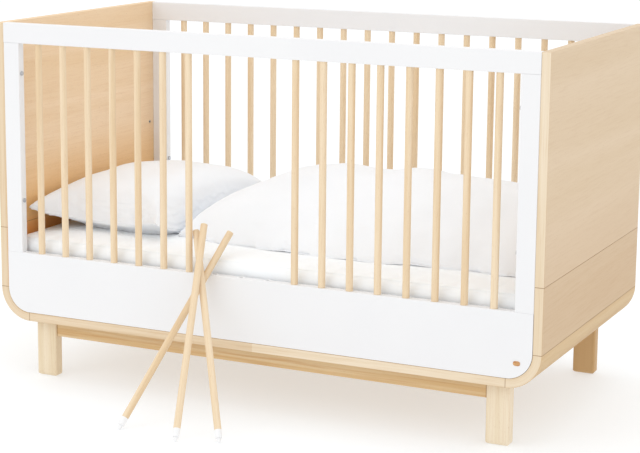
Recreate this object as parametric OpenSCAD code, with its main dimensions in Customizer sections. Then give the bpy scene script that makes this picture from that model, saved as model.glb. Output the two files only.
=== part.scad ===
// Cot bed: a U-shaped wooden shell on four legs, two barred side frames, a slatted base that
// sits at one of three heights, bedding, and three sprung slip bars that have been taken out of
// the front side and lean on its lower panel.
// Millimetres, Z up, X along the crib. Z = 0 is the floor. X = 0 is the middle of the crib, and
// Y = 0 is midway between the foremost slip bar's foot and the back of the crib.

/* [Overall] */
// Length over the end panels
crib_l = 1450; // [1200:10:1750]
// Width over the side frames
crib_w = 760; // [630:10:920]
// Height of the end panels and the top rails
crib_h = 912; // [760:2:1100]

/* [Shell] */
// Thickness of the end panels, corners and bottom board
board_t = 22; // [18:0.5:28]
// Outer radius of the bent corners
corner_r = 84; // [60:1:110]
// Height of the seam between the lower and the upper end panel
seam_z = 389; // [320:1:470]
// Rounding of the shell's long edges
shell_ease = 2; // [1:0.5:4]
// Rounding of the edges where two pieces of the shell meet
seam_ease = 0.8; // [0.4:0.1:2]

/* [Legs and stretchers] */
// Height of the legs, to the underside of the bottom board
leg_h = 150; // [120:1:190]
// Width of a leg along the crib
leg_x = 58; // [45:1:75]
// Depth of a leg across the crib
leg_y = 30; // [25:1:40]
// From the board's end to the legs' outer side
leg_from_seam = -1; // [-3:1:20]
// From the face of a side frame to the leg
leg_inset_y = 34; // [20:1:60]
// Rounding of a leg's upright edges
leg_round = 5; // [3:0.5:10]
// Rounding of a leg's lower end
foot_round = 10; // [4:0.5:12]
// Height of a stretcher
stretcher_h = 42; // [30:1:60]
// Thickness of a stretcher
stretcher_t = 20; // [15:1:24]
// How far a stretcher's face is set back from the leg's face
stretcher_back = 5; // [1:0.5:9]

/* [Side frames] */
// Thickness of the side frames
frame_t = 22; // [21:0.5:30]
// Height of a top rail
rail_h = 50; // [35:1:70]
// Width of a corner post
post_w = 45; // [35:1:60]
// Height of the lower panel's top edge above the floor
panel_top = 328; // [270:1:390]
// Gap between the lower panel and the shell
panel_gap = 0.5; // [0.2:0.1:2]
// Rounding of the painted frame's edges
paint_ease = 1.5; // [0.5:0.5:3]
// Number of bar places in each side frame
bar_n = 18; // [16:1:20]
// Diameter of the bars
bar_d = 17; // [14:0.5:18]
// From a post to the middle of the first bar
bar_end = 52; // [45:1:60]
// Depth of a bar's seat in the rail and in the panel
bar_seat = 10; // [6:1:15]
// Clearance round a fixed bar in its seat
bar_fit = 0.1; // [0.05:0.05:0.3]

/* [Slip bars] */
// First of the three bar places that are empty
slip_first = 7; // [4:1:11]
// Depth of the upper socket that takes a slip bar's top
socket_top = 8; // [6:1:12]
// How far a slip bar's top goes into the upper socket
slip_seat = 6; // [4:0.5:8]
// Clearance round a slip bar in the upper socket
slip_fit = 0.4; // [0.2:0.1:0.8]
// Gap between a fitted slip bar's cap and the lower socket's collar
cap_gap = 0.5; // [0.3:0.1:1]
// Visible length of the white cap
cap_l = 20; // [14:1:30]
// Chamfer of a slip bar's top end and of its cap
bar_ease = 1; // [0.4:0.1:2]
// Length of the cap's sleeve inside the bar
sleeve_l = 44; // [40:1:60]
// Outer diameter of the sleeve
sleeve_d = 13.6; // [12.6:0.1:14]
// Diameter of the plunger's nose
plunger_d = 9.6; // [8:0.1:10]
// How far the plunger stands out of the cap
plunger_out = 12; // [10:0.5:16]
// Travel of the plunger into the cap
plunger_travel = 10; // [8:0.5:11]
// Diameter of the plunger's shoulder
shoulder_d = 11; // [10.6:0.1:11.5]
// Length of the plunger's shoulder
shoulder_l = 6; // [4:0.5:8]
// Clearance round the plunger
plunger_fit = 0.25; // [0.15:0.05:0.4]
// Wire diameter of the plunger spring
wire_d = 1; // [0.6:0.1:1.4]
// Turns of the plunger spring
spring_turns = 7; // [5:1:9]
// Gap between a leaning bar and what it leans on
lean_gap = 0.6; // [0.4:0.1:1.5]
// Gap between the last fixed bar and the leaning bar that passes it
pass_gap = 1.8; // [1:0.2:10]
// How far the first leaning bar clears the mattress's edge line
over_bed = 1.5; // [0.5:0.5:10]

/* [Lower sockets] */
// Outer diameter of a socket bush
bush_d = 15; // [13:0.5:17]
// Bore of a socket bush
bush_bore = 10.6; // [10:0.1:12]
// Depth of a socket bush
bush_l = 16; // [13:0.5:20]
// Diameter of the bush's collar
collar_d = 19; // [17:0.5:20]
// Thickness of the bush's collar
collar_t = 1; // [0.6:0.1:2]

/* [Base and bedding] */
// From the seam over a bent corner up to the lowest pegs' axis
peg_above_seam = 11; // [8:1:25]
// From the top of the slats down to the pegs' axis
peg_drop = 20; // [16:1:30]
// From a side frame's inner face to the pegs' axis
peg_inset = 20; // [15:1:30]
// Clearance between a peg and the notch that rests on it
notch_fit = 0.5; // [0.3:0.1:1]
// Step between the three heights of the base
height_step = 162; // [130:1:170]
// Height of the base frame's rails
base_rail_h = 45; // [30:1:50]
// Thickness of the base frame's rails
base_rail_t = 25; // [18:1:35]
// Gap between the base and the crib all round
base_gap = 5; // [3:0.5:10]
// Thickness of a slat
slat_t = 8; // [6:0.5:12]
// Width of a slat
slat_w = 60; // [40:5:75]
// Number of slats
slat_n = 14; // [11:1:16]
// Gap between the mattress and the end panels
mattress_end_gap = 3; // [2:0.5:10]
// Gap between the mattress and the side frames
mattress_side_gap = 8; // [4:0.5:15]
// Thickness of the mattress
mattress_h = 100; // [80:5:120]
// Rounding of the mattress's upright corners
mattress_round = 40; // [20:5:60]
// Rounding of the mattress's long edges
mattress_ease = 15; // [8:1:25]
// Size of the pillow along the crib
pillow_x = 395; // [300:5:450]
// From the front frame to the pillow
pillow_front = 65; // [40:5:200]
// Thickness of the pillow
pillow_h = 116; // [70:2:130]
// Rounding of the pillow's edges
pillow_round = 34; // [20:1:34]
// Gap between the pillow and the head end and back of the crib
pillow_gap = 6; // [4:1:20]
// Thickness of the folded duvet
duvet_h = 140; // [80:5:160]
// Rounding of the duvet's edges
duvet_round = 38; // [20:1:39]
// Gap between the pillow and the duvet
duvet_gap = 8; // [4:1:30]
// How far the duvet's front edge lies behind the mattress's
duvet_back = 70; // [60:5:160]

/* [Fastenings] */
// Diameter of the dowels
dowel_d = 8; // [6:0.5:10]
// Length of the dowels
dowel_l = 34; // [24:1:40]
// Shank diameter of the bolts
bolt_d = 6; // [5:0.5:7]
// Head diameter of the bolts
head_d = 11; // [9:0.5:13]
// Head height of the bolts
head_h = 3; // [2:0.5:4]
// Outer diameter of the threaded inserts
insert_d = 9; // [8.5:0.5:11]
// Length of the threaded inserts
insert_l = 13; // [10:1:16]
// Clearance round dowels, bolts and inserts
hole_fit = 0.15; // [0.1:0.05:0.3]
// How far a support peg stands out of the end panel
peg_out = 20; // [12:1:30]

/* [Badge] */
// Length of the plain oval badge
badge_l = 17; // [10:1:30]
// Height of the badge
badge_h = 11; // [8:1:20]
// Thickness of the badge
badge_t = 0.8; // [0.5:0.1:2]
// Height of the badge's middle above the bottom board
badge_rise = 38; // [30:1:60]

/* [Hidden] */
$fn = 48;

MAPLE = [0.87, 0.75, 0.60];
BEECH = [0.91, 0.82, 0.67];
PINE = [0.90, 0.77, 0.55];
PAINT = [0.97, 0.97, 0.97];
PLASTIC = [0.94, 0.94, 0.93];
STEEL = [0.66, 0.67, 0.69];
LINEN = [0.96, 0.96, 0.97];
TAN = [0.66, 0.47, 0.28];

HEAD_SIDE = -1;
FOOT_SIDE = 1;
cut = 1;                              // how far a cutting solid runs past the face it opens

in_l = crib_l - 2 * board_t;          // between the end panels
in_w = crib_w - 2 * frame_t;          // between the side frames
floor_z = leg_h + board_t;            // top of the bottom board
arc_top = leg_h + corner_r;           // seam between a corner and the lower panel
rail_z = crib_h - rail_h;             // underside of the top rails
bar_gap_z = rail_z - panel_top;       // clear height that the bars cross
post_in = in_l / 2 - post_w;          // inner face of a post
bar_pitch = 2 * (post_in - bar_end) / (bar_n - 1);
slip_count = 3;
slip_set = [for (i = [0:slip_count - 1]) slip_first + i];
bar_mid = frame_t / 2;                // the bars' plane, behind the frame's face

// A slip bar along its own axis, from the tip of the plunger's nose.
nose_r = plunger_d / 2;
cap_z = plunger_out;                  // open end of the cap
wood_z = cap_z + cap_l;               // where the cap meets the wood
slip_l = plunger_out - (collar_t + cap_gap) + bar_gap_z + slip_seat;
lip_t = 4;                            // lip of the cap that holds the plunger in
lip_z = cap_z + lip_t;
sleeve_bore = shoulder_d + 2 * plunger_fit;
sleeve_end_t = 2;
bore_end = wood_z + sleeve_l - sleeve_end_t;
spring_z = lip_z + shoulder_l;
spring_l = bore_end - spring_z;
spring_r = shoulder_d / 2 - wire_d / 2 - plunger_fit;

peg_z = arc_top + peg_above_seam;     // axis of the lowest pegs
base_top = peg_z + peg_drop;          // top of the slats with the base at its lowest place
base_l = in_l - 2 * base_gap;
base_w = in_w - 2 * base_gap;
frame_top = base_top - slat_t;        // top of the base frame under the slats
frame_z = frame_top - base_rail_h;
bed_top = base_top + mattress_h;
mattress_l = in_l - 2 * mattress_end_gap;
mattress_w = in_w - 2 * mattress_side_gap;
mattress_y = frame_t + mattress_side_gap;

// Slopes of the leaning bars, sideways and backwards, per unit of height.
// Bar 1 lies on the panel's edge, bar 2 across bar 1, and bar 3 across bar 2.
// Bar 1 stands steeper where the bed would be in its way.
LEAN = [[0.29, 1 / max(1 / 0.78, (bed_top + over_bed - panel_top) / mattress_y)], [-0.50, 0.65], [-0.21, 0.70]];
function lean_dir(i) = [LEAN[i][0], LEAN[i][1], 1];
// Spacing across the crib that leaves the clearance between two crossing bars.
function stack_step(a, b) = (bar_d + lean_gap) * norm(cross(a, b)) / abs(a[0] - b[0]);
edge_y = -(bar_d / 2 + lean_gap) * sqrt(1 + LEAN[0][1] * LEAN[0][1]);
function lean_y(i) = i == 0 ? edge_y : lean_y(i - 1) - stack_step(lean_dir(i - 1), lean_dir(i));
cross_x = bar_x(slip_first - 1)
    + (norm([LEAN[1][0], LEAN[1][1]]) * (bar_d + pass_gap) - LEAN[1][0] * (frame_t / 2 - lean_y(1))) / LEAN[1][1];
function foot_x(i) = cross_x - LEAN[i][0] * (panel_top - nose_r);
function foot_y(i) = lean_y(i) - LEAN[i][1] * (panel_top - nose_r);
reach = nose_r - min([for (i = [0:slip_count - 1]) foot_y(i)]);
front_y = (reach - crib_w) / 2;       // face of the front frame

soft_gap = 0.5;                       // between one soft solid and the next
pillow_y = in_w - pillow_front - pillow_gap;
duvet_x = -in_l / 2 + pillow_gap + pillow_x + duvet_gap;
duvet_l = in_l / 2 - pillow_gap - duvet_x;
duvet_y = mattress_y + duvet_back;
duvet_w = crib_w - frame_t - pillow_gap - duvet_y;

peg_d = insert_d + 1;
peg_y = [frame_t + peg_inset, crib_w - frame_t - peg_inset];
heights = [for (i = [0:2]) peg_z + i * height_step];
post_bolt_z = [panel_top + bar_gap_z / 4, rail_z - bar_gap_z / 7];
leg_mid_y = [leg_inset_y + leg_y / 2, crib_w - leg_inset_y - leg_y / 2];
leg_mid_x = crib_l / 2 - corner_r - leg_from_seam - leg_x / 2;
leg_bolt_x = [for (s = [-1, 1]) leg_mid_x + s * leg_x / 4];
leg_bolt_depth = 60;
stretcher_l = 2 * (leg_mid_x - leg_x / 2);
stretcher_y = leg_inset_y + stretcher_back;
screw_d = 5;
screw_n = 5;
screw_x = [for (i = [0:screw_n - 1]) (i - (screw_n - 1) / 2) * stretcher_l / screw_n];
screw_mid_y = [stretcher_y + stretcher_t / 2, crib_w - stretcher_y - stretcher_t / 2];
screw_depth = 30;
shell_dowel_y = [for (i = [0:3]) crib_w * (i + 0.5) / 4];
shell_seams = [seam_z, arc_top];
post_dowel_x = [for (s = [-1, 1]) in_l / 2 - post_w / 2 + s * post_w / 4];

// ---- shared shapes ----

// Everything on the crib is drawn from its front face back.
module on_crib() translate([0, front_y, 0]) children();

module rounded_rect(a, b, r) {
    translate([r, 0]) square([a - 2 * r, b]);
    translate([0, r]) square([a, b - 2 * r]);
    for (x = [r, a - r], y = [r, b - r]) translate([x, y]) circle(r);
}

// A block from the origin whose edges along Z, Y and X have their own rounding.
module rounded_block(size, rz, ry, rx) intersection() {
    linear_extrude(size[2]) rounded_rect(size[0], size[1], rz);
    translate([0, size[1], 0]) rotate([90, 0, 0]) linear_extrude(size[1])
        rounded_rect(size[0], size[2], ry);
    rotate([90, 0, 90]) linear_extrude(size[0]) rounded_rect(size[1], size[2], rx);
}

module upright(x, y, z, d, l) translate([x, y, z]) cylinder(d = d, h = l);

module along_x(x, y, z, d, l) translate([x, y, z]) rotate([0, 90, 0]) cylinder(d = d, h = l);

module mirrored_if(flip) mirror([flip ? 1 : 0, 0, 0]) children();

// Turns the crib's front side into its rear side.
module on_side(rear) translate([0, rear ? crib_w : 0, 0]) mirror([0, rear ? 1 : 0, 0]) children();

function bar_x(i) = (i - (bar_n - 1) / 2) * bar_pitch;

module dowel(x, y, z) upright(x, y, z - dowel_l / 2, dowel_d, dowel_l);

module dowel_hole(x, y, z)
    upright(x, y, z - dowel_l / 2 - cut, dowel_d + 2 * hole_fit, dowel_l + 2 * cut);

// ---- shell ----

// Holes in the inner face of the head end's panel: frame bolts and the three base heights.
module end_holes() {
    mid = [bar_mid, crib_w - bar_mid];
    for (y = mid, z = post_bolt_z)
        along_x(-in_l / 2 - insert_l - cut, y, z, insert_d + 2 * hole_fit, insert_l + 2 * cut);
    for (y = peg_y, z = heights)
        along_x(-in_l / 2 - insert_l - cut, y, z, insert_d + 2 * hole_fit, insert_l + 2 * cut);
}

module end_dowels(hole) {
    x = -in_l / 2 - board_t / 2;
    for (y = shell_dowel_y, z = shell_seams)
        if (hole) dowel_hole(x, y, z); else dowel(x, y, z);
}

module end_panel(z_low, z_high) difference() {
    translate([-crib_l / 2, 0, z_low])
        rounded_block([board_t, crib_w, z_high - z_low], shell_ease, seam_ease, seam_ease);
    end_holes();
    end_dowels(true);
}

module corner() difference() {
    translate([-crib_l / 2 + corner_r, crib_w, arc_top]) rotate([90, 0, 0]) rotate([0, 0, 180])
        rotate_extrude(angle = 90, $fn = 96) translate([corner_r - board_t, 0])
            rounded_rect(board_t, crib_w, shell_ease);
    end_dowels(true);
    board_dowels(true);
}

// Dowels between a bent corner and the bottom board.
module board_dowels(hole) {
    x = -crib_l / 2 + corner_r;
    grow = hole ? cut : 0;
    d = dowel_d + (hole ? 2 * hole_fit : 0);
    for (y = shell_dowel_y)
        along_x(x - dowel_l / 2 - grow, y, leg_h + board_t / 2, d, dowel_l + 2 * grow);
}

module bottom_board() on_crib() color(MAPLE) difference() {
    translate([-crib_l / 2 + corner_r, 0, leg_h])
        rounded_block([crib_l - 2 * corner_r, crib_w, board_t], seam_ease, seam_ease, shell_ease);
    for (flip = [false, true]) mirrored_if(flip) {
        board_dowels(true);
        for (x = leg_bolt_x, y = leg_mid_y) sunk_bolt_hole(x, y, bolt_d);
    }
    for (x = screw_x, y = screw_mid_y) sunk_bolt_hole(x, y, screw_d);
    for (rear = [false, true]) on_side(rear)
        for (x = screw_x) upright(x, bar_mid, leg_h - cut, screw_d + 2 * hole_fit, board_t + 2 * cut);
}

module sunk_bolt_hole(x, y, d) {
    upright(x, y, leg_h - cut, d + 2 * hole_fit, board_t + 2 * cut);
    upright(x, y, floor_z - head_h, head_d + 2 * hole_fit, head_h + cut);
}

module left_panel_upper() on_crib() color(MAPLE) end_panel(seam_z, crib_h);
module left_panel_lower() on_crib() color(MAPLE) end_panel(arc_top, seam_z);
module left_corner() on_crib() color(MAPLE) corner();
module right_panel_upper() on_crib() mirrored_if(true) color(MAPLE) end_panel(seam_z, crib_h);
module right_panel_lower() on_crib() mirrored_if(true) color(MAPLE) end_panel(arc_top, seam_z);
module right_corner() on_crib() mirrored_if(true) color(MAPLE) corner();

// ---- legs and stretchers ----

module leg(side, rear) on_crib() on_side(rear) color(BEECH) difference() {
    translate([side * leg_mid_x - leg_x / 2, leg_inset_y, 0]) intersection() {
        linear_extrude(leg_h) rounded_rect(leg_x, leg_y, leg_round);
        translate([0, leg_y, 0]) rotate([90, 0, 0]) linear_extrude(leg_y) foot_outline(leg_x, leg_h);
        rotate([90, 0, 90]) linear_extrude(leg_x) foot_outline(leg_y, leg_h);
    }
    for (x = leg_bolt_x)
        upright(side * x, leg_mid_y[0], leg_h - leg_bolt_depth, bolt_d + 2 * hole_fit, leg_bolt_depth + cut);
}

// A rectangle whose lower corners are rounded.
module foot_outline(a, b) {
    translate([foot_round, 0]) square([a - 2 * foot_round, b]);
    translate([0, foot_round]) square([a, b - foot_round]);
    for (x = [foot_round, a - foot_round]) translate([x, foot_round]) circle(foot_round);
}

module stretcher(rear) on_crib() on_side(rear) color(PINE) difference() {
    translate([-stretcher_l / 2, stretcher_y, leg_h - stretcher_h])
        rotate([90, 0, 90]) linear_extrude(stretcher_l) rounded_rect(stretcher_t, stretcher_h, shell_ease);
    for (x = screw_x)
        upright(x, screw_mid_y[0], leg_h - screw_depth, screw_d + 2 * hole_fit, screw_depth + cut);
}

module leg_front_left() leg(HEAD_SIDE, false);
module leg_front_right() leg(FOOT_SIDE, false);
module leg_rear_left() leg(HEAD_SIDE, true);
module leg_rear_right() leg(FOOT_SIDE, true);
module front_stretcher() stretcher(false);
module rear_stretcher() stretcher(true);

// ---- side frames ----

function is_slip(i) = len(search(i, slip_set)) > 0;

module bar_hole(x, z, depth, d) upright(x, bar_mid, z, d, depth + cut);

module top_rail(rear) on_crib() on_side(rear) color(PAINT) difference() {
    translate([-in_l / 2, 0, rail_z]) rotate([90, 0, 90]) linear_extrude(in_l)
        rounded_rect(frame_t, rail_h, paint_ease);
    for (i = [0:bar_n - 1])
        if (!rear && is_slip(i))
            translate([0, 0, -cut]) bar_hole(bar_x(i), rail_z, socket_top, bar_d + 2 * slip_fit);
        else
            translate([0, 0, -cut]) bar_hole(bar_x(i), rail_z, bar_seat, bar_d + 2 * bar_fit);
    post_dowels(true, rail_z);
}

module panel(rear) on_crib() on_side(rear) color(PAINT) difference() {
    intersection() {
        translate([0, frame_t, 0]) rotate([90, 0, 0]) linear_extrude(frame_t) panel_outline();
        translate([-in_l / 2, 0, floor_z]) rotate([90, 0, 90]) linear_extrude(in_l)
            rounded_rect(frame_t, panel_top - floor_z, paint_ease);
    }
    for (i = [0:bar_n - 1])
        if (!rear && is_slip(i)) {
            bar_hole(bar_x(i), panel_top - bush_l, bush_l, bush_d + 2 * hole_fit);
            upright(bar_x(i), bar_mid, panel_top - bush_l - nose_r, bush_bore, bush_l);
        } else
            bar_hole(bar_x(i), panel_top - bar_seat, bar_seat, bar_d + 2 * bar_fit);
    post_dowels(true, panel_top);
    for (x = screw_x)
        upright(x, bar_mid, floor_z, screw_d + 2 * hole_fit, screw_depth);
}

// The panel's lower corners follow the inside of the bent shell.
module panel_outline() {
    r = corner_r - board_t - panel_gap;
    w = in_l - 2 * panel_gap;
    z = floor_z + panel_gap;
    translate([-w / 2, z + r]) square([w, panel_top - z - r]);
    translate([-w / 2 + r, z]) square([w - 2 * r, panel_top - z]);
    for (s = [-1, 1]) translate([s * (w / 2 - r), z + r]) circle(r, $fn = 96);
}

module post(side, rear) on_crib() on_side(rear) mirrored_if(side > 0) color(PAINT) difference() {
    translate([-in_l / 2, 0, panel_top]) linear_extrude(bar_gap_z)
        rounded_rect(post_w, frame_t, paint_ease);
    for (z = post_bolt_z)
        along_x(-in_l / 2 - cut, bar_mid, z, bolt_d + 2 * hole_fit, post_w + 2 * cut);
    post_dowels(true, panel_top);
    post_dowels(true, rail_z);
}

module post_dowels(hole, z) for (s = [-1, 1], x = post_dowel_x)
    if (hole) dowel_hole(s * x, bar_mid, z); else dowel(s * x, bar_mid, z);

// The fixed bars of one half of a side frame, each seated in the rail and in the panel.
module fixed_bars(rear, first, last) on_crib() on_side(rear) color(BEECH)
    for (i = [first:last])
        if (rear || !is_slip(i))
            upright(bar_x(i), bar_mid, panel_top - bar_seat + cut / 2, bar_d, bar_gap_z + 2 * bar_seat - cut);

module front_top_rail() top_rail(false);
module front_post_left() post(HEAD_SIDE, false);
module front_post_right() post(FOOT_SIDE, false);
module front_panel() panel(false);
module rear_top_rail() top_rail(true);
module rear_post_left() post(HEAD_SIDE, true);
module rear_post_right() post(FOOT_SIDE, true);
module rear_panel() panel(true);
module front_bars_left() fixed_bars(false, 0, slip_first - 1);
module front_bars_right() fixed_bars(false, slip_first + slip_count, bar_n - 1);
module rear_bars_left() fixed_bars(true, 0, floor(bar_n / 2) - 1);
module rear_bars_right() fixed_bars(true, floor(bar_n / 2), bar_n - 1);

// ---- slip bars ----

// Places a bar that is drawn upwards from the tip of its nose.
module leaning(i) {
    d = lean_dir(i);
    on_crib() translate([foot_x(i), foot_y(i), nose_r])
        rotate([0, acos(d[2] / norm(d)), atan2(d[1], d[0])])
            translate([0, 0, -nose_r]) children();
}

module slip_bar(i) leaning(i) color(BEECH) difference() {
    union() {
        upright(0, 0, wood_z, bar_d, slip_l - wood_z - bar_ease);
        translate([0, 0, slip_l - bar_ease]) cylinder(d1 = bar_d, d2 = bar_d - 2 * bar_ease, h = bar_ease);
    }
    upright(0, 0, wood_z - cut, sleeve_d + 2 * hole_fit, sleeve_l + 2 * cut);
}

module slip_cap(i) leaning(i) color(PLASTIC) difference() {
    union() {
        upright(0, 0, cap_z + bar_ease, bar_d, cap_l - bar_ease);
        translate([0, 0, cap_z]) cylinder(d1 = bar_d - 2 * bar_ease, d2 = bar_d, h = bar_ease);
        upright(0, 0, wood_z - cut, sleeve_d, sleeve_l + cut);
    }
    upright(0, 0, cap_z - cut, plunger_d + 2 * plunger_fit, lip_t + 2 * cut);
    upright(0, 0, lip_z, sleeve_bore, bore_end - lip_z);
}

module slip_plunger(i) leaning(i) color(PLASTIC) {
    translate([0, 0, nose_r]) sphere(r = nose_r);
    upright(0, 0, nose_r, plunger_d, spring_z - nose_r);
    upright(0, 0, lip_z + plunger_fit, shoulder_d, shoulder_l - plunger_fit);
}

// A helix of round wire, swept as rings of points.
module slip_spring(i) {
    sides = 6;
    steps = 12 * spring_turns;
    rise = spring_l - wire_d - 2 * plunger_fit;
    points = [for (k = [0:steps], j = [0:sides - 1])
        let (t = 360 * spring_turns * k / steps, a = 360 * j / sides, r = spring_r + wire_d / 2 * cos(a))
        [r * cos(t), r * sin(t), spring_z + plunger_fit + wire_d / 2 + rise * k / steps + wire_d / 2 * sin(a)]];
    walls = [for (k = [0:steps - 1], j = [0:sides - 1])
        let (n = (j + 1) % sides)
        [k * sides + j, (k + 1) * sides + j, (k + 1) * sides + n, k * sides + n]];
    ends = [[for (j = [0:sides - 1]) j], [for (j = [sides - 1:-1:0]) steps * sides + j]];
    leaning(i) color(STEEL) polyhedron(points, concat(walls, ends));
}

module slip_bar_1() slip_bar(0);
module slip_cap_1() slip_cap(0);
module slip_plunger_1() slip_plunger(0);
module slip_spring_1() slip_spring(0);
module slip_bar_2() slip_bar(1);
module slip_cap_2() slip_cap(1);
module slip_plunger_2() slip_plunger(1);
module slip_spring_2() slip_spring(1);
module slip_bar_3() slip_bar(2);
module slip_cap_3() slip_cap(2);
module slip_plunger_3() slip_plunger(2);
module slip_spring_3() slip_spring(2);

// White bushes in the panel's top edge, which take the plungers of fitted slip bars.
module socket_bushes() on_crib() color(PLASTIC) for (i = slip_set) difference() {
    union() {
        upright(bar_x(i), bar_mid, panel_top - bush_l, bush_d, bush_l);
        upright(bar_x(i), bar_mid, panel_top, collar_d, collar_t);
    }
    upright(bar_x(i), bar_mid, panel_top - bush_l - cut, bush_bore, bush_l + collar_t + 2 * cut);
}

// ---- base ----

// A side rail of the base, between the two end rails.
module base_rail(rear) on_crib() on_side(rear) color(PINE)
    translate([-base_l / 2 + base_rail_t, frame_t + base_gap, frame_z]) rotate([90, 0, 90])
        linear_extrude(base_l - 2 * base_rail_t) rounded_rect(base_rail_t, base_rail_h, paint_ease);

// An end rail hooks over its two pegs with notches that are open below.
module base_end(side) on_crib() mirrored_if(side > 0) color(PINE) difference() {
    translate([-base_l / 2, frame_t + base_gap, frame_z]) cube([base_rail_t, base_w, base_rail_h]);
    for (y = peg_y) {
        along_x(-base_l / 2 - cut, y, peg_z, peg_d + 2 * notch_fit, base_rail_t + 2 * cut);
        translate([-base_l / 2 - cut, y - peg_d / 2 - notch_fit, frame_z - cut])
            cube([base_rail_t + 2 * cut, peg_d + 2 * notch_fit, peg_z - frame_z + cut]);
    }
}

module slats() on_crib() color(PINE) for (i = [0:slat_n - 1])
    translate([-base_l / 2 + (base_l - slat_w) * i / (slat_n - 1), frame_t + base_gap, frame_top])
        rotate([90, 0, 90]) linear_extrude(slat_w) rounded_rect(base_w, slat_t, paint_ease);

module base_rail_front() base_rail(false);
module base_rail_rear() base_rail(true);
module base_end_left() base_end(HEAD_SIDE);
module base_end_right() base_end(FOOT_SIDE);

// ---- bedding ----

module mattress() on_crib() color(LINEN) translate([-mattress_l / 2, mattress_y, base_top])
    rounded_block([mattress_l, mattress_w, mattress_h], mattress_round, mattress_ease, mattress_ease);

module pillow() on_crib() color(LINEN)
    translate([-in_l / 2 + pillow_gap, crib_w - frame_t - pillow_gap - pillow_y, bed_top + soft_gap])
        rounded_block([pillow_x, pillow_y, pillow_h], pillow_round, pillow_round, pillow_round);

module duvet() on_crib() color(LINEN) translate([duvet_x, duvet_y, bed_top + soft_gap])
    rounded_block([duvet_l, duvet_w, duvet_h], duvet_round, duvet_round, duvet_round);

// ---- fastenings ----

module frame_bolts() on_crib() color(STEEL)
    for (flip = [false, true], rear = [false, true], z = post_bolt_z) mirrored_if(flip) on_side(rear) {
        along_x(-in_l / 2 - insert_l + cut, bar_mid, z, bolt_d, post_w + insert_l - cut);
        along_x(-post_in, bar_mid, z, head_d, head_h);
    }

module insert(y, z) difference() {
    along_x(-in_l / 2 - insert_l, y, z, insert_d, insert_l);
    along_x(-in_l / 2 - insert_l - cut, y, z, bolt_d + 2 * hole_fit, insert_l + 2 * cut);
}

module panel_inserts() on_crib() color(STEEL)
    for (flip = [false, true], rear = [false, true], z = post_bolt_z)
        mirrored_if(flip) on_side(rear) insert(bar_mid, z);

module height_inserts() on_crib() color(STEEL)
    for (flip = [false, true], y = peg_y, z = heights) mirrored_if(flip) insert(y, z);

// The base rests on these pegs, which sit in the lowest inserts.
module base_pegs() on_crib() color(STEEL) for (flip = [false, true], y = peg_y) mirrored_if(flip) {
    along_x(-in_l / 2 - insert_l + cut, y, peg_z, bolt_d, insert_l);
    along_x(-in_l / 2, y, peg_z, peg_d, peg_out);
}

module sunk_bolt(x, y, d, depth) {
    upright(x, y, leg_h - depth + cut, d, depth + board_t - cut);
    upright(x, y, floor_z - head_h, head_d, head_h);
}

module leg_bolts() on_crib() color(STEEL)
    for (flip = [false, true], x = leg_bolt_x, y = leg_mid_y)
        mirrored_if(flip) sunk_bolt(x, y, bolt_d, leg_bolt_depth);

module stretcher_screws() on_crib() color(STEEL)
    for (x = screw_x, y = screw_mid_y) sunk_bolt(x, y, screw_d, screw_depth);

// Screws up through the bottom board into the lower panels.
module panel_screws() on_crib() color(STEEL)
    for (rear = [false, true], x = screw_x) on_side(rear)
        upright(x, bar_mid, leg_h, screw_d, board_t + screw_depth - cut);

module shell_dowels() on_crib() color(BEECH) for (flip = [false, true]) mirrored_if(flip) {
    end_dowels(false);
    board_dowels(false);
}

module frame_dowels() on_crib() color(BEECH) for (rear = [false, true], z = [panel_top, rail_z])
    on_side(rear) post_dowels(false, z);

// ---- badge ----

module badge() on_crib() color(TAN)
    translate([post_in + badge_l / 2, 0, floor_z + badge_rise]) rotate([90, 0, 0])
        linear_extrude(badge_t) {
            square([badge_l - badge_h, badge_h], center = true);
            for (s = [-1, 1]) translate([s * (badge_l - badge_h) / 2, 0]) circle(d = badge_h);
        }

left_panel_upper();
left_panel_lower();
left_corner();
right_panel_upper();
right_panel_lower();
right_corner();
bottom_board();
leg_front_left();
leg_front_right();
leg_rear_left();
leg_rear_right();
front_stretcher();
rear_stretcher();
front_top_rail();
front_post_left();
front_post_right();
front_panel();
rear_top_rail();
rear_post_left();
rear_post_right();
rear_panel();
front_bars_left();
front_bars_right();
rear_bars_left();
rear_bars_right();
slip_bar_1();
slip_cap_1();
slip_plunger_1();
slip_spring_1();
slip_bar_2();
slip_cap_2();
slip_plunger_2();
slip_spring_2();
slip_bar_3();
slip_cap_3();
slip_plunger_3();
slip_spring_3();
socket_bushes();
base_rail_front();
base_rail_rear();
base_end_left();
base_end_right();
slats();
mattress();
pillow();
duvet();
frame_bolts();
panel_inserts();
height_inserts();
base_pegs();
leg_bolts();
stretcher_screws();
panel_screws();
shell_dowels();
frame_dowels();
badge();
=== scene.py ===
import bpy, bmesh, math
from mathutils import Matrix, Vector, kdtree, noise


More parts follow.
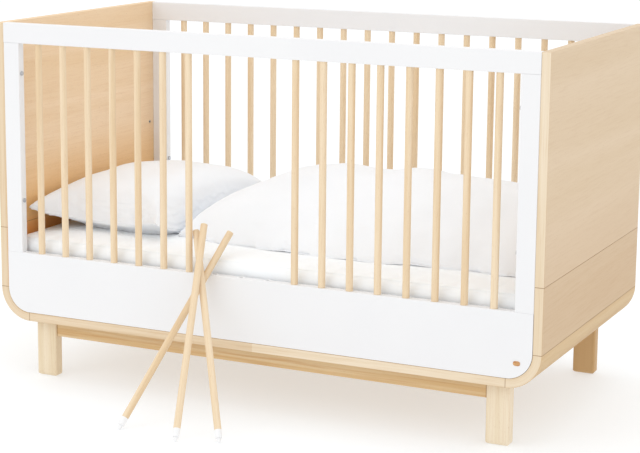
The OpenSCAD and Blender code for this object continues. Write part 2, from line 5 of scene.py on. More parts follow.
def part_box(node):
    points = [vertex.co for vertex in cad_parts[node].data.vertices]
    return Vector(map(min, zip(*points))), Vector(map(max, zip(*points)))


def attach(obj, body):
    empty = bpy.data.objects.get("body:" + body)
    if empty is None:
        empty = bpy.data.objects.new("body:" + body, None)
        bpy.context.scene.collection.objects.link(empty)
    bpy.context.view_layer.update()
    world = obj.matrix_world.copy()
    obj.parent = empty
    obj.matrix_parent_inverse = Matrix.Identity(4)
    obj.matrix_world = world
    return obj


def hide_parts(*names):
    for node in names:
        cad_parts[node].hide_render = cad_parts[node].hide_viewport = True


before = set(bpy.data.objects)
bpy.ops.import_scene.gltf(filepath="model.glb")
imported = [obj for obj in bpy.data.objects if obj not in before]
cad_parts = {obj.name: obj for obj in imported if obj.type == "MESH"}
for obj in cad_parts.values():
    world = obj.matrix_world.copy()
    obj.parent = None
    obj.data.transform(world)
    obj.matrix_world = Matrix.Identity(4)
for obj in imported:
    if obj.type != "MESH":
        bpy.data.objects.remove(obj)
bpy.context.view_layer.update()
print("frame loaded:", len(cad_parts), "parts")

crib = {"left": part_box("left_panel_upper")[0].x, "right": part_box("right_panel_upper")[1].x,
        "top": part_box("left_panel_upper")[1].z, "mattressTop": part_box("mattress")[1].z}


# camera, floor and lights

camera = {"place": (1.943, -4.0065, 1.335), "yaw": 26.70, "pitch": 10.41, "roll": 0.24,
          "lens": 102.48, "shift": (0.078, -0.0625)}
studio = {"floorSize": 60.0, "floorColour": (0.965, 0.985, 1.0), "worldColour": (1.0, 1.0, 1.0), "worldStrength": 1.02,
          "lamps": {"keyLeft": ((-2.6, -4.2, 3.2), (0.0, 0.0, 0.45), 3.0, 26.0, (1.0, 0.995, 0.985)),
                    "fillRight": ((4.6, -2.2, 2.0), (0.3, 0.0, 0.5), 2.6, 6.0, (1.0, 0.995, 0.985)),
                    "topSoft": ((0.0, 0.4, 4.2), (0.0, 0.0, 0.4), 3.4, 18.0, (1.0, 1.0, 1.0))}}


def deselectAll():
    if bpy.context.object and bpy.context.object.mode != "OBJECT":
        bpy.ops.object.mode_set(mode="OBJECT")
    bpy.ops.object.select_all(action="DESELECT")


def placeCamera():
    data = bpy.data.cameras.new("camera")
    eye = bpy.data.objects.new("camera", data)
    bpy.context.scene.collection.objects.link(eye)
    data.lens, data.sensor_width = camera["lens"], 36.0
    data.shift_x, data.shift_y = camera["shift"]
    data.clip_start, data.clip_end = 0.05, 200.0
    turn = (Matrix.Rotation(math.radians(camera["yaw"]), 4, "Z")
            @ Matrix.Rotation(math.radians(90 - camera["pitch"]), 4, "X")
            @ Matrix.Rotation(math.radians(camera["roll"]), 4, "Z"))
    eye.matrix_world = Matrix.Translation(camera["place"]) @ turn
    bpy.context.scene.camera = eye


def placeLamps():
    for name, (place, aim, size, power, colour) in studio["lamps"].items():
        data = bpy.data.lights.new(name, "AREA")
        data.shape, data.size, data.energy, data.color = "DISK", size, power, colour
        lamp = bpy.data.objects.new(name, data)
        bpy.context.scene.collection.objects.link(lamp)
        lamp.location = place
        lamp.rotation_euler = (Vector(aim) - Vector(place)).to_track_quat("-Z", "Y").to_euler()
    world = bpy.data.worlds.new("studio")
    world.use_nodes = True
    sky = world.node_tree.nodes["Background"]
    sky.inputs["Color"].default_value = (*studio["worldColour"], 1)
    sky.inputs["Strength"].default_value = studio["worldStrength"]
    bpy.context.scene.world = world


def layFloor():
    deselectAll()
    bpy.ops.mesh.primitive_plane_add(size=studio["floorSize"], location=(0, 0, -0.0005))
    floor = bpy.context.object
    floor.name = "floor"
    bpy.ops.object.transform_apply(location=True, rotation=True, scale=True)
    return floor


placeCamera()
placeLamps()
floor = layFloor()
bpy.context.scene.view_settings.view_transform = "Standard"
print("camera, lamps and floor placed")


# shader sums as plain expressions

class Wire:  # one value or colour on its way through a finish
    def __init__(self, finish, socket):
        self.finish, self.socket = finish, socket

    def sum(self, operation, first, second=0.0):
        return self.finish.node("ShaderNodeMath", {"operation": operation}, {0: first, 1: second})

    def __add__(self, other): return self.sum("ADD", self, other)
    def __sub__(self, other): return self.sum("SUBTRACT", self, other)
    def __mul__(self, other): return self.sum("MULTIPLY", self, other)
    def __truediv__(self, other): return self.sum("DIVIDE", self, other)
    def __radd__(self, other): return self.sum("ADD", other, self)
    def __rsub__(self, other): return self.sum("SUBTRACT", other, self)
    def __rmul__(self, other): return self.sum("MULTIPLY", other, self)
    def __gt__(self, other): return self.sum("GREATER_THAN", self, other)
    def __lt__(self, other): return self.sum("LESS_THAN", self, other)
    def __pow__(self, other): return self.sum("POWER", self, other)
    def size(self): return self.sum("ABSOLUTE", self)
    def wave(self): return self.sum("SINE", self)
    def positive(self): return self.sum("MAXIMUM", self)

    def spread(self, low, high, first=0.0, last=1.0):  # low..high becomes first..last, and stays inside
        return self.finish.node("ShaderNodeMapRange", {"clamp": True, "interpolation_type": "SMOOTHSTEP"},
                                {"Value": self, "From Min": low, "From Max": high, "To Min": first, "To Max": last})


class Finish:  # one material
    def __init__(self, name):
        self.material = bpy.data.materials.new(name)
        self.material.use_nodes = True
        self.tree = self.material.node_tree
        self.tree.nodes.clear()
        self.place = self.node("ShaderNodeTexCoord", output="Object")
        self.normal = self.node("ShaderNodeNewGeometry", output="Normal")

    def node(self, kind, settings={}, inputs={}, output=0):
        made = self.tree.nodes.new(kind)
        for name, value in settings.items():
            setattr(made, name, value)
        for name, value in inputs.items():
            if isinstance(value, Wire):
                self.tree.links.new(value.socket, made.inputs[name])
            else:
                made.inputs[name].default_value = value
        return Wire(self, made.outputs[output])

    def axes(self, vector=None):
        vector = vector or self.place
        return [self.node("ShaderNodeSeparateXYZ", inputs={0: vector}, output=i) for i in range(3)]

    def stretched(self, scale):
        return self.node("ShaderNodeMapping", {"vector_type": "POINT"}, {"Vector": self.place, "Scale": scale})

    def along(self, axis, across, lengthwise):  # a pattern space whose Z runs along any direction
        axis = Vector(axis).normalized()
        side = axis.orthogonal().normalized()
        rows = (side * across, axis.cross(side) * across, axis * lengthwise)
        dots = [self.node("ShaderNodeVectorMath", {"operation": "DOT_PRODUCT"}, {0: self.place, 1: row}, "Value") for row in rows]
        return self.node("ShaderNodeCombineXYZ", inputs={i: dot for i, dot in enumerate(dots)})

    def cloud(self, vector, scale=1.0, detail=2.0, rough=0.5, twist=0.0):
        return self.node("ShaderNodeTexNoise", {"noise_dimensions": "3D"},
                         {"Vector": vector, "Scale": scale, "Detail": detail, "Roughness": rough, "Distortion": twist}, "Fac")

    def mix(self, factor, first, last, kind="MIX"):
        pair = [(*c, 1) if isinstance(c, tuple) else c for c in (first, last)]
        return self.node("ShaderNodeMix", {"data_type": "RGBA", "blend_type": kind}, {0: factor, 6: pair[0], 7: pair[1]}, 2)

    def surface(self, colour, roughness, height=None, depth=0.0002, strength=0.5, **fixed):
        wires = {"Base Color": colour if isinstance(colour, Wire) else (*colour, 1), "Roughness": roughness}
        if height is not None:
            wires["Normal"] = self.node("ShaderNodeBump", inputs={"Height": height, "Distance": depth, "Strength": strength})
        for name, value in fixed.items():
            wires[name.replace("_", " ")] = value
        shader = self.node("ShaderNodeBsdfPrincipled", inputs=wires)
        end = self.tree.nodes.new("ShaderNodeOutputMaterial")
        self.tree.links.new(shader.socket, end.inputs["Surface"])
        return self.material


def dress(material, *names):
    for name in names:
        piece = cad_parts.get(name) or bpy.data.objects[name]
        piece.data.materials.clear()
        piece.data.materials.append(material)


def tint(red, green, blue):  # a paint-chart colour as light
    return tuple((c / 255 / 12.92) if c <= 10 else ((c / 255 + 0.055) / 1.055) ** 2.4 for c in (red, green, blue))


# woods

maple = {"light": tint(218, 195, 165), "deep": tint(214, 190, 158), "line": tint(198, 166, 130), "fleck": tint(184, 148, 112),
         "figure": 13.0, "lines": 230.0, "stretch": 0.045, "lineDepth": 0.26, "flecks": 0.30, "rough": 0.46}
lowMaple = {**maple, "light": tint(207, 180, 146), "deep": tint(204, 175, 140), "line": tint(188, 152, 114)}
# painted light: lighter, warmer tones for the left panels' inner face, standing in for bounced light; the outside
# factor darkens their outer face back towards plain maple
innerLitMaple = {**maple, "light": tint(240, 214, 182), "deep": tint(232, 202, 163), "line": tint(216, 172, 124),
             "outside": (0.805, 0.81, 0.80)}
bentMaple = {**maple, "light": tint(211, 182, 139), "deep": tint(199, 165, 118), "line": tint(186, 146, 96)}
# painted shade: the last tone here darkens the edge strips on the left side
edgeBand = {"light": tint(235, 219, 195), "deep": tint(225, 205, 175), "line": tint(206, 172, 128), "lines": 420.0, "leftShade": tint(246, 240, 232)}
beech = {"light": tint(234, 213, 178), "deep": tint(222, 195, 154), "line": tint(203, 165, 119), "fleck": tint(186, 140, 96),
         "figure": 38.0, "lines": 420.0, "stretch": 0.03, "lineDepth": 0.30, "flecks": 0.22, "rough": 0.42}
paleBeech = {**beech, "light": tint(236, 221, 196), "deep": tint(227, 209, 178), "figure": 24.0, "lines": 300.0}
pine = {"light": tint(224, 199, 158), "deep": tint(212, 177, 126), "line": tint(194, 144, 88), "fleck": tint(170, 114, 66),
        "figure": 30.0, "lines": 210.0, "stretch": 0.02, "lineDepth": 0.70, "flecks": 0.15, "rough": 0.5}
slatPine = {**pine, "light": tint(232, 208, 166), "deep": tint(220, 188, 140), "lineDepth": 0.5}
# painted shade: darker tones for the rear legs, standing in for the shade they stand in
shadedRearBeech = {**paleBeech, "light": tint(202, 168, 122), "deep": tint(190, 153, 105)}
seams = {"width": 0.0011, "colour": tint(150, 110, 72), "strength": 0.75}
roundBeech = {**beech, "light": tint(236, 216, 186), "deep": tint(226, 200, 163), "line": tint(204, 168, 126)}


def timber(name, wood, axis, lowShadeTones=None, banded=False, endsAt=None):
    f = Finish(name)
    space = f.along(axis, 1.0, wood["stretch"])
    x, y, z = f.axes()
    figure = f.cloud(space, wood["figure"], 3.0, 0.5, 0.8)
    lines = f.cloud(space, wood["lines"], 3.0, 0.6, 0.25)
    flecks = f.cloud(f.along(axis, 1.0, 0.16), 760.0, 1.0, 0.4).spread(0.66, 0.74)
    colour = f.mix(figure.spread(0.30, 0.72), wood["light"], wood["deep"])
    if lowShadeTones:  # painted shade and warm bounced light: on the face towards the foot end the colour is multiplied warmer and darker lower down
        towardsFoot = f.axes(f.normal)[0]
        for low, high, tone in lowShadeTones:
            colour = f.mix(z.spread(low, high, 1.0, 0.0) * (towardsFoot > 0.5), colour, tone, "MULTIPLY")
        # painted light: faces turned away from the foot end are multiplied darker, so only the face towards it keeps
        # its lighter painted tone
        if "outside" in wood:
            colour = f.mix(towardsFoot < -0.5, colour, wood["outside"], "MULTIPLY")
    colour = f.mix(lines.spread(0.42, 0.78) * wood["lineDepth"], colour, wood["line"])
    colour = f.mix(flecks * wood["flecks"], colour, wood["fleck"])
    height = lines * 0.6 + flecks * -0.8
    if banded:  # glued edge strips: their own paler wood, with the grain running round the shell
        over = (x.size() - shell["bendX"]).positive()
        under = (shell["bendZ"] - z).positive()
        depth = (over * over + under * under) ** 0.5
        bandSpace = f.node("ShaderNodeCombineXYZ", inputs={0: depth, 1: x * 0.02 + y * 1.0, 2: z * 0.02})
        stripe = f.cloud(bandSpace, edgeBand["lines"], 3.0, 0.6)
        soft = f.cloud(bandSpace, 60.0, 2.0, 0.5)
        strip = f.mix(soft.spread(0.35, 0.7), edgeBand["light"], edgeBand["deep"])
        strip = f.mix(stripe.spread(0.45, 0.8) * 0.4, strip, edgeBand["line"])
        # painted shade: the edge strips on the left side are multiplied darker
        strip = f.mix(x < 0.0, strip, edgeBand["leftShade"], "MULTIPLY")
        facing = f.axes(f.normal)[1].size()
        onEdge = facing.spread(0.75, 0.9)
        colour = f.mix(onEdge, colour, strip)
        fine = seams["width"] * 0.4
        levels = [(z - at).size().spread(fine, seams["width"], 1.0, 0.0) for at in (shell["panelSeam"], shell["cornerSeam"])]
        upright = (x.size() - shell["boardSeam"]).size().spread(fine, seams["width"], 1.0, 0.0)
        joint = levels[0] + levels[1] + upright * (z < shell["cornerSeam"] - 0.02)
        colour = f.mix(joint * seams["strength"], colour, seams["colour"])
    if endsAt:  # the dark joint where a rail meets the legs
        joint = (x.size() - endsAt).size().spread(seams["width"], seams["width"] * 2.5, 1.0, 0.0)
        colour = f.mix(joint * seams["strength"], colour, seams["colour"])
    rough = wood["rough"] + figure * 0.08 + lines * 0.06
    return f.surface(colour, rough, height, depth=0.00012, strength=0.55, Specular_IOR_Level=0.3)


cornerLow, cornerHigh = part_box("right_corner")
shell = {"bendX": cornerLow.x, "bendZ": cornerLow.z + (cornerHigh.x - cornerLow.x),  # where the bend starts
         "panelSeam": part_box("right_panel_lower")[1].z, "cornerSeam": cornerHigh.z, "boardSeam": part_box("bottom_board")[1].x}
outerShadeLow = [(0.38, 0.62, tint(247, 242, 237))]  # painted shade: both lists make the colour darker and warmer lower down; from height, to height, tone
innerWarmShadeLow = [(0.40, 0.62, tint(254, 232, 192)), (0.37, 0.41, tint(250, 215, 180))]

dress(timber("mapleOuter", maple, (0, 1, 0), outerShadeLow, banded=True), "right_panel_upper")
dress(timber("mapleLow", lowMaple, (0, 1, 0), banded=True), "right_panel_lower")
dress(timber("mapleInner", innerLitMaple, (0, 1, 0), innerWarmShadeLow, banded=True), "left_panel_upper", "left_panel_lower")
dress(timber("mapleBent", bentMaple, (0, 1, 0), banded=True), "left_corner", "right_corner")
dress(timber("mapleBoard", bentMaple, (1, 0, 0), banded=True), "bottom_board")
dress(timber("legBeech", paleBeech, (0, 0, 1)), "leg_front_left", "leg_front_right")
dress(timber("legBeechRear", shadedRearBeech, (0, 0, 1)), "leg_rear_left", "leg_rear_right")
dress(timber("stretcherPine", pine, (1, 0, 0), endsAt=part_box("front_stretcher")[1].x), "front_stretcher", "rear_stretcher")
dress(timber("barBeech", roundBeech, (0, 0, 1)), "front_bars_left", "front_bars_right", "rear_bars_left", "rear_bars_right")
dress(timber("dowelBeech", roundBeech, (0, 1, 0)), "shell_dowels", "frame_dowels")
dress(timber("railPine", slatPine, (1, 0, 0)), "base_rail_front", "base_rail_rear")
dress(timber("endPine", slatPine, (0, 1, 0)), "base_end_left", "base_end_right", "slats")


def meanPoint(name):
    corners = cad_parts[name].data.vertices
    return sum((v.co for v in corners), Vector()) / len(corners)


for i in "123":
    tilt = meanPoint("slip_bar_" + i) - meanPoint("slip_plunger_" + i)
    dress(timber("slipBeech" + i, roundBeech, tilt), "slip_bar_" + i)
print("woods dressed")


# paint, plastic and metal

lacquer = {"colour": (0.832, 0.828, 0.832), "shadow": (0.812, 0.808, 0.816), "rough": 0.34}
plastic = {"colour": (0.88, 0.88, 0.885), "rough": 0.30}
zinc = {"light": (0.62, 0.63, 0.65), "dark": (0.42, 0.43, 0.46), "rough": 0.34}
badgeWood = {"light": tint(222, 176, 118), "dark": tint(170, 106, 56)}


def paint(name):
    f = Finish(name)
    drift = f.cloud(f.stretched((3, 3, 3)), 1.0, 2.0)
    peel = f.cloud(f.place, 420.0, 2.0, 0.5)
    colour = f.mix(drift.spread(0.3, 0.7), lacquer["colour"], lacquer["shadow"])
    return f.surface(colour, lacquer["rough"] + peel * 0.06, peel + drift * 0.4, depth=0.00006, strength=0.35, Coat_Weight=0.25, Coat_Roughness=0.22)


def moulded(name):
    f = Finish(name)
    grainy = f.cloud(f.place, 1400.0, 2.0)
    colour = f.mix(grainy.spread(0.3, 0.7), plastic["colour"], tuple(c * 0.97 for c in plastic["colour"]))
    return f.surface(colour, plastic["rough"] + grainy * 0.08, grainy, depth=0.00003, strength=0.3, IOR=1.49)


def plated(name):
    f = Finish(name)
    spangle = f.cloud(f.place, 900.0, 3.0, 0.6)
    colour = f.mix(spangle.spread(0.3, 0.7), zinc["light"], zinc["dark"])
    return f.surface(colour, zinc["rough"] + spangle * 0.12, spangle, depth=0.00003, strength=0.3, Metallic=1.0)


dress(paint("whiteLacquer"), *[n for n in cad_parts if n.startswith(("front_", "rear_")) and "bars" not in n and "stretcher" not in n])
dress(moulded("whitePlastic"), "socket_bushes", *[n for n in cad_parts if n.startswith(("slip_cap", "slip_plunger"))])
dress(plated("zincSteel"), "frame_bolts", "panel_inserts", "height_inserts", "base_pegs", "leg_bolts", "stretcher_screws", "panel_screws",
      *[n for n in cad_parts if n.startswith("slip_spring")])


def badgeFinish():
    f = Finish("badgeWood")
    rings = f.cloud(f.stretched((60, 400, 500)), 1.0, 3.0)
    colour = f.mix(rings.spread(0.3, 0.7), badgeWood["light"], badgeWood["dark"])
    return f.surface(colour, 0.5, rings, depth=0.00005, strength=0.4)


dress(badgeFinish(), "badge")


def floorFinish():
    f = Finish("paleFloor")
    soft = f.cloud(f.place, 1.5, 2.0)
    pale = studio["floorColour"]
    colour = f.mix(soft, tuple(c * 0.54 for c in pale), tuple(c * 0.535 for c in pale))
    return f.surface(colour, 0.8, Emission_Color=(*pale, 1), Emission_Strength=0.50)  # lit from below as well, like a light table


floor.data.materials.append(floorFinish())
print("paint, plastic and metal dressed")


# bedding

linen = {"light": (0.895, 0.918, 0.952), "shade": (0.872, 0.897, 0.932), "thread": 0.0011, "rough": 0.86}
ticking = {"light": (0.95, 0.975, 0.995), "shade": (0.935, 0.962, 0.985), "thread": 0.0016, "rough": 0.82}
pillow = {"side": (-0.698, -0.316), "slant": 0.040,  # the right side runs outwards towards the back
          "front": -0.140, "tip": 0.024, "back": 0.492, "rim": 0.026, "wallCurl": 0.038, "wallRise": 0.023,
          "cornerLift": 0.024, "rise": 0.093, "sink": 0.024, "pull": 0.030, "sidePull": 0.11, "frontPull": 0.17,
          "voxel": 0.006, "swell": 0.010, "pressure": 4.0, "settle": 0.006}
duvet = {"side": (-0.331, 0.692), "slant": 0.069, "front": -0.090, "back": 0.494,
         "rim": 0.005, "rise": 0.118, "sink": 0.016, "crest": 0.62,
         "swells": ((-0.03, 0.08, 0.012), (0.195, 0.10, 0.017)),  # place along the bed, width, height
         "tucks": (0.006, 0.322), "tuckLift": 0.013,  # where the hem lifts off the bed
         "voxel": 0.0085, "swell": 0.010, "pressure": 3.0, "settle": 0.012}
mattress = {"corner": 0.040, "ease": 0.020, "piping": 0.0016, "channelGap": 0.10}


bedWalls = (Vector((crib["left"] + 0.0235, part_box("front_panel")[1].y + 0.004, crib["mattressTop"] + 0.0003)),
            Vector((crib["right"] - 0.0235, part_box("rear_panel")[0].y - 0.0015, crib["top"])))


def smoothStep(t):
    t = max(0.0, min(1.0, t))
    return t * t * (3 - 2 * t)


def softBlock(name, divisions):  # a cube cut into a fine grid, to be pushed into a cushion
    deselectAll()
    bpy.ops.mesh.primitive_cube_add(size=2.0, location=(0, 0, 0))
    piece = bpy.context.object
    piece.name = piece.data.name = name
    bpy.ops.object.mode_set(mode="EDIT")
    bpy.ops.mesh.select_all(action="SELECT")
    bpy.ops.mesh.subdivide(number_cuts=divisions)
    bpy.ops.object.mode_set(mode="OBJECT")
    return piece


def shapePillow(piece):
    p, bed = pillow, crib["mattressTop"]
    middleY, halfY = (p["front"] + p["back"]) / 2, (p["back"] - p["front"]) / 2
    for vertex in piece.data.vertices:
        u, v, w = vertex.co
        left, right = p["side"][0], p["side"][1] + p["slant"] * smoothStep((v + 1) / 1.6)
        middleX, halfX = (left + right) / 2, (right - left) / 2
        full = (1 - abs(u) ** (5.0 if u > 0 else 2.05)) ** 0.6 * (1 - abs(v) ** 2.8) ** 0.58
        x = middleX + halfX * u * (1 - (p["sidePull"] if u > 0 else p["pull"]) * (1 - v * v) * abs(u) ** 3)
        y = -p["tip"] * smoothStep((-u - 0.4) / 0.6) * smoothStep((-v - 0.4) / 0.6) + middleY + halfY * v * (1 - (p["frontPull"] if v < 0 else p["pull"]) * (1 - u ** 4) * abs(v) ** 3)
        curl = math.exp(-(u + 1) / 0.26)
        rim = bed + p["rim"] * (1 - 0.6 * smoothStep((u - 0.3) / 0.7) * smoothStep((v + 1) / 0.35))
        rim += (p["wallCurl"] + p["wallRise"] * (1 - v * v)) * curl
        rim += p["cornerLift"] * smoothStep((u - 0.3) / 0.7) * smoothStep((-v - 0.5) / 0.5)
        dent = 0.006 * noise.noise(Vector((x * 9, y * 7, 3.1)))
        under = smoothStep((0.97 - abs(u)) / 0.45) * smoothStep((0.97 - abs(v)) / 0.40)
        lift = (p["rise"] * full + dent * full) if w > 0 else -p["sink"] * under
        vertex.co = (x, y, max(bed + 0.0035, rim + lift * abs(w) + 0.006 * w))


def shapeDuvet(piece):
    p, bed = duvet, crib["mattressTop"]
    for vertex in piece.data.vertices:
        u, v, w = vertex.co
        left, right = p["side"][0] + p["slant"] * smoothStep((v + 1) / 1.6), p["side"][1]
        middleX, halfX = (left + right) / 2, (right - left) / 2
        x = middleX + halfX * u * (1 - 0.012 * (1 - v * v))
        front = p["front"] + 0.005 * math.sin(x * 17.0 + 0.8) + 0.005 * math.sin(x * 41.0)
        front += 0.045 * max(0.0, x - 0.10) + 0.13 * max(0.0, 0.03 - x)
        y = front + (p["back"] - front) * (v + 1) / 2
        across = (1 - u ** 6) ** 0.6 if u > 0 else (1 - abs(u) ** (16 - 7 * smoothStep((v + 1) / 1.2))) ** 0.5
        if v < p["crest"]:
            along = (1 - (1 - (v + 1) / (1 + p["crest"])) ** 2.3) ** 0.75
        else:
            along = (1 - ((v - p["crest"]) / (1 - p["crest"])) ** 2.4) ** 0.5
        swells = sum(high * math.exp(-((x - at) / wide) ** 2) for at, wide, high in p["swells"]) * smoothStep((v + 0.9) / 1.2)
        folds = 0.006 * noise.noise(Vector((x * 7.5, y * 4.0, 8.2))) + 0.0025 * noise.noise(Vector((x * 21.0, y * 13.0, 1.7)))
        tuck = sum(p["tuckLift"] * math.exp(-((x - at) / 0.015) ** 2) for at in p["tucks"]) * smoothStep((-v - 0.8) / 0.2)
        rim = bed + p["rim"] + 0.022 * smoothStep((v - 0.3) / 0.7)
        top = (p["rise"] - 0.022 * smoothStep((v - 0.3) / 0.7) + swells + folds) * across * along
        under = smoothStep((1 - abs(u)) / 0.2) * smoothStep((1 - abs(v)) / 0.3)
        lift = top if w > 0 else -(p["sink"] + 0.03 * smoothStep((v + 0.7) / 0.7)) * under
        vertex.co = (x, y, max(bed + 0.0012, rim + tuck + lift * abs(w) + 0.004 * w))


def inflate(piece, p, walls):  # cloth filled with air, kept off the bed and the walls
    deselectAll()
    piece.select_set(True)
    bpy.context.view_layer.objects.active = piece
    remesh = piece.modifiers.new("evenWeave", "REMESH")
    remesh.mode, remesh.voxel_size, remesh.use_smooth_shade = "VOXEL", p["voxel"], True
    bpy.ops.object.modifier_apply(modifier=remesh.name)
    start = [v.co.copy() for v in piece.data.vertices]
    cloth = piece.modifiers.new("cloth", "CLOTH")
    cloth.settings.use_pressure = True
    cloth.settings.uniform_pressure_force = p["pressure"]
    cloth.settings.effector_weights.gravity = 0
    cloth.settings.quality = 4
    cloth.settings.mass = 0.25
    cloth.settings.tension_stiffness = cloth.settings.compression_stiffness = 12
    cloth.settings.bending_stiffness = 0.4
    cloth.collision_settings.use_collision = False
    cloth.point_cache.frame_start, cloth.point_cache.frame_end = 1, 24
    for step in range(1, 21):
        bpy.context.scene.frame_set(step)
    blown = piece.evaluated_get(bpy.context.evaluated_depsgraph_get()).data
    moved = [v.co.copy() for v in blown.vertices]
    piece.modifiers.remove(cloth)
    bpy.context.scene.frame_set(1)
    for vertex, before, after in zip(piece.data.vertices, start, moved):
        step = after - before
        most = p["swell"] * (0.2 if vertex.normal.z < -0.15 else 1.0)
        if step.length > most:
            step *= most / step.length
        vertex.co = before + step
    relax = piece.modifiers.new("relax", "SMOOTH")
    relax.factor, relax.iterations = 0.5, 4
    bpy.ops.object.modifier_apply(modifier=relax.name)
    low, high = walls
    for vertex in [v for v in piece.data.vertices if v.normal.z < 0.1 and v.co.z < low.z + p["settle"]]:
        vertex.co.z = low.z  # the hem lies flat on the bed
    for vertex in piece.data.vertices:
        vertex.co = [max(a, min(b, c)) for a, b, c in zip(low, high, vertex.co)]
    settled = [v.co.copy() for v in piece.data.vertices]
    finer = piece.modifiers.new("finer", "SUBSURF")
    finer.levels = finer.render_levels = 1
    bpy.ops.object.modifier_apply(modifier=finer.name)
    bpy.ops.object.shade_smooth()
    return start, settled


def hemLine(name, points, radius):  # a sewn seam that follows a closed line
    deselectAll()
    curve = bpy.data.curves.new(name, "CURVE")
    curve.dimensions, curve.bevel_depth, curve.bevel_resolution = "3D", radius, 2
    line = curve.splines.new("POLY")
    line.points.add(len(points) - 1)
    for spot, place in zip(line.points, points):
        spot.co = (*place, 1)
    line.use_cyclic_u = True
    seam = bpy.data.objects.new(name, curve)
    bpy.context.scene.collection.objects.link(seam)
    seam.select_set(True)
    bpy.context.view_layer.objects.active = seam
    bpy.ops.object.convert(target="MESH")
    bpy.ops.object.shade_smooth()
    return bpy.context.object


def seamOf(name, outline, cloth, radius):  # a seam that has moved with the cloth under it
    start, settled = cloth
    tree = kdtree.KDTree(len(start))
    for i, place in enumerate(start):
        tree.insert(place, i)
    tree.balance()
    path = [settled[tree.find(spot)[1]] for spot in outline]
    n = len(path)
    smooth = [(path[i - 2] + path[i - 1] * 2 + path[i] * 3 + path[(i + 1) % n] * 2 + path[(i + 2) % n]) / 9 for i in range(n)]
    return hemLine(name, smooth, radius)


def ringOf(shape, count=160):  # the seam line of a cushion, before it is filled
    deselectAll()
    ring = bpy.data.meshes.new("ring")
    spots = []
    for i in range(count):
        turn = i / count * 4
        side, t = int(turn), (turn % 1) * 2 - 1
        spots.append([(t, -1), (1, t), (-t, 1), (-1, -t)][side])
    ring.from_pydata([(u, v, 0.0) for u, v in spots], [], [])
    holder = bpy.data.objects.new("ring", ring)
    shape(holder)
    places = [v.co.copy() for v in ring.vertices]
    bpy.data.objects.remove(holder)
    return places


def makeCushion(name, shape, p):
    piece = softBlock(name + "Soft", 36)
    shape(piece)
    cloth = inflate(piece, p, bedWalls)
    seam = seamOf(name + "Seam", ringOf(shape), cloth, 0.0016)
    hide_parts(name)
    for part in (piece, seam):
        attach(part, "bed_base")
    return piece, seam


def roundedLoop(low, high, radius, height, steps=8):
    path = []
    for cx, cy, first in ((high.x - radius, high.y - radius, 0), (low.x + radius, high.y - radius, 90),
                          (low.x + radius, low.y + radius, 180), (high.x - radius, low.y + radius, 270)):
        for i in range(steps + 1):
            turn = math.radians(first + 90 * i / steps)
            path.append(Vector((cx + radius * math.cos(turn), cy + radius * math.sin(turn), height)))
    return path


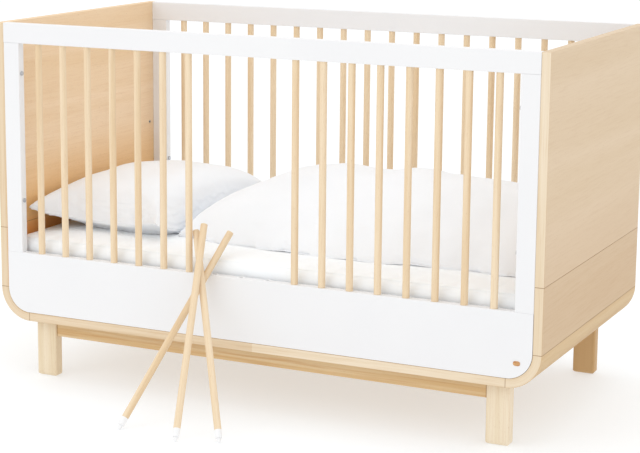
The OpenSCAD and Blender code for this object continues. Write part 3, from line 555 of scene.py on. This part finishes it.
def makeMattress():
    low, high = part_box("mattress")
    inset = Vector((0.002, 0.002, 0.0))
    low, high = low + inset, high - inset
    deselectAll()
    bpy.ops.mesh.primitive_cube_add(size=1, location=(low + high) / 2, scale=high - low)
    piece = bpy.context.object
    piece.name = piece.data.name = "mattressPad"
    bpy.ops.object.transform_apply(location=True, rotation=True, scale=True)
    for offset, segments, level in ((mattress["corner"], 8, False), (mattress["ease"], 4, True)):
        bpy.ops.object.mode_set(mode="EDIT")
        bpy.ops.mesh.select_mode(type="EDGE")
        bpy.ops.mesh.select_all(action="DESELECT")
        form = bmesh.from_edit_mesh(piece.data)
        for edge in form.edges:
            a, b = (v.co for v in edge.verts)
            flat = abs(a.z - b.z) < 1e-5
            edge.select_set(flat if level else abs(a.x - b.x) + abs(a.y - b.y) < 1e-5)
        bmesh.update_edit_mesh(piece.data)
        bpy.ops.mesh.bevel(offset=offset, segments=segments)
        bpy.ops.object.mode_set(mode="OBJECT")
    remesh = piece.modifiers.new("evenFoam", "REMESH")
    remesh.mode, remesh.voxel_size, remesh.use_smooth_shade = "VOXEL", 0.009, True
    bpy.ops.object.modifier_apply(modifier=remesh.name)
    middle, half = (low + high) / 2, (high - low) / 2
    for vertex in piece.data.vertices:
        x, y, z = vertex.co
        out = max(abs(x - middle.x) / half.x, abs(y - middle.y) / half.y)
        if z > high.z - 0.012:  # the top dips a little towards its piping
            vertex.co.z -= 0.0022 * smoothStep((out - 0.86) / 0.14)
        if low.z + 0.02 < z < high.z - 0.02:  # the side band bellies between the pipings
            push = 0.0016 * math.sin((z - low.z) / (high.z - low.z) * math.pi)
            vertex.co.x += push * (1 if x > middle.x else -1) * (abs(x - middle.x) > half.x - 0.02)
            vertex.co.y += push * (1 if y > middle.y else -1) * (abs(y - middle.y) > half.y - 0.02)
    bpy.ops.object.shade_smooth()
    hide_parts("mattress")
    pieces = [piece]
    ease = mattress["ease"] * 0.35
    for name, height in (("mattressPipingTop", high.z - ease), ("mattressPipingLow", low.z + ease)):
        loop = roundedLoop(low + Vector((ease, ease, 0)), high - Vector((ease, ease, 0)), mattress["corner"], height)
        pieces.append(hemLine(name, loop, mattress["piping"] / 2))
    for part in pieces:
        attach(part, "bed_base")
    return pieces


def fabric(name, look, quilted=False):
    f = Finish(name)
    x, y, z = f.axes()
    thread = math.tau / look["thread"]
    weave = ((x + z * 0.7) * thread).wave() * ((y - z * 0.7) * thread).wave()
    drift = f.cloud(f.stretched((5, 5, 5)), 1.0, 2.0)
    folds = f.cloud(f.stretched((11, 7, 9)), 1.0, 3.0, 0.5, 0.5)
    slub = f.cloud(f.stretched((260, 40, 120)), 1.0, 2.0)
    colour = f.mix(drift.spread(0.3, 0.7), look["light"], look["shade"])
    colour = f.mix(slub.spread(0.45, 0.85) * 0.25, colour, look["shade"])
    height = weave * 0.012 + folds + slub * 0.02
    if quilted:  # stitched squares
        gap = math.pi / mattress["channelGap"]
        stitch = ((x * gap).wave().size() * (y * gap).wave().size()).spread(0.0, 0.35)
        height = weave * 0.02 + stitch * f.axes(f.normal)[2].spread(0.7, 0.95) * 0.5
    return f.surface(colour, look["rough"] + slub * 0.05, height, depth=0.004, strength=0.5, Sheen_Weight=0.2, Sheen_Roughness=0.5)


bedLinen = fabric("bedLinen", linen)
cover = fabric("mattressCover", ticking, quilted=True)
for part in makeMattress():
    dress(cover, part.name)
print("mattress made")
for part in makeCushion("pillow", shapePillow, pillow):
    dress(bedLinen, part.name)
print("pillow filled")
for part in makeCushion("duvet", shapeDuvet, duvet):
    dress(bedLinen, part.name)
print("duvet filled")
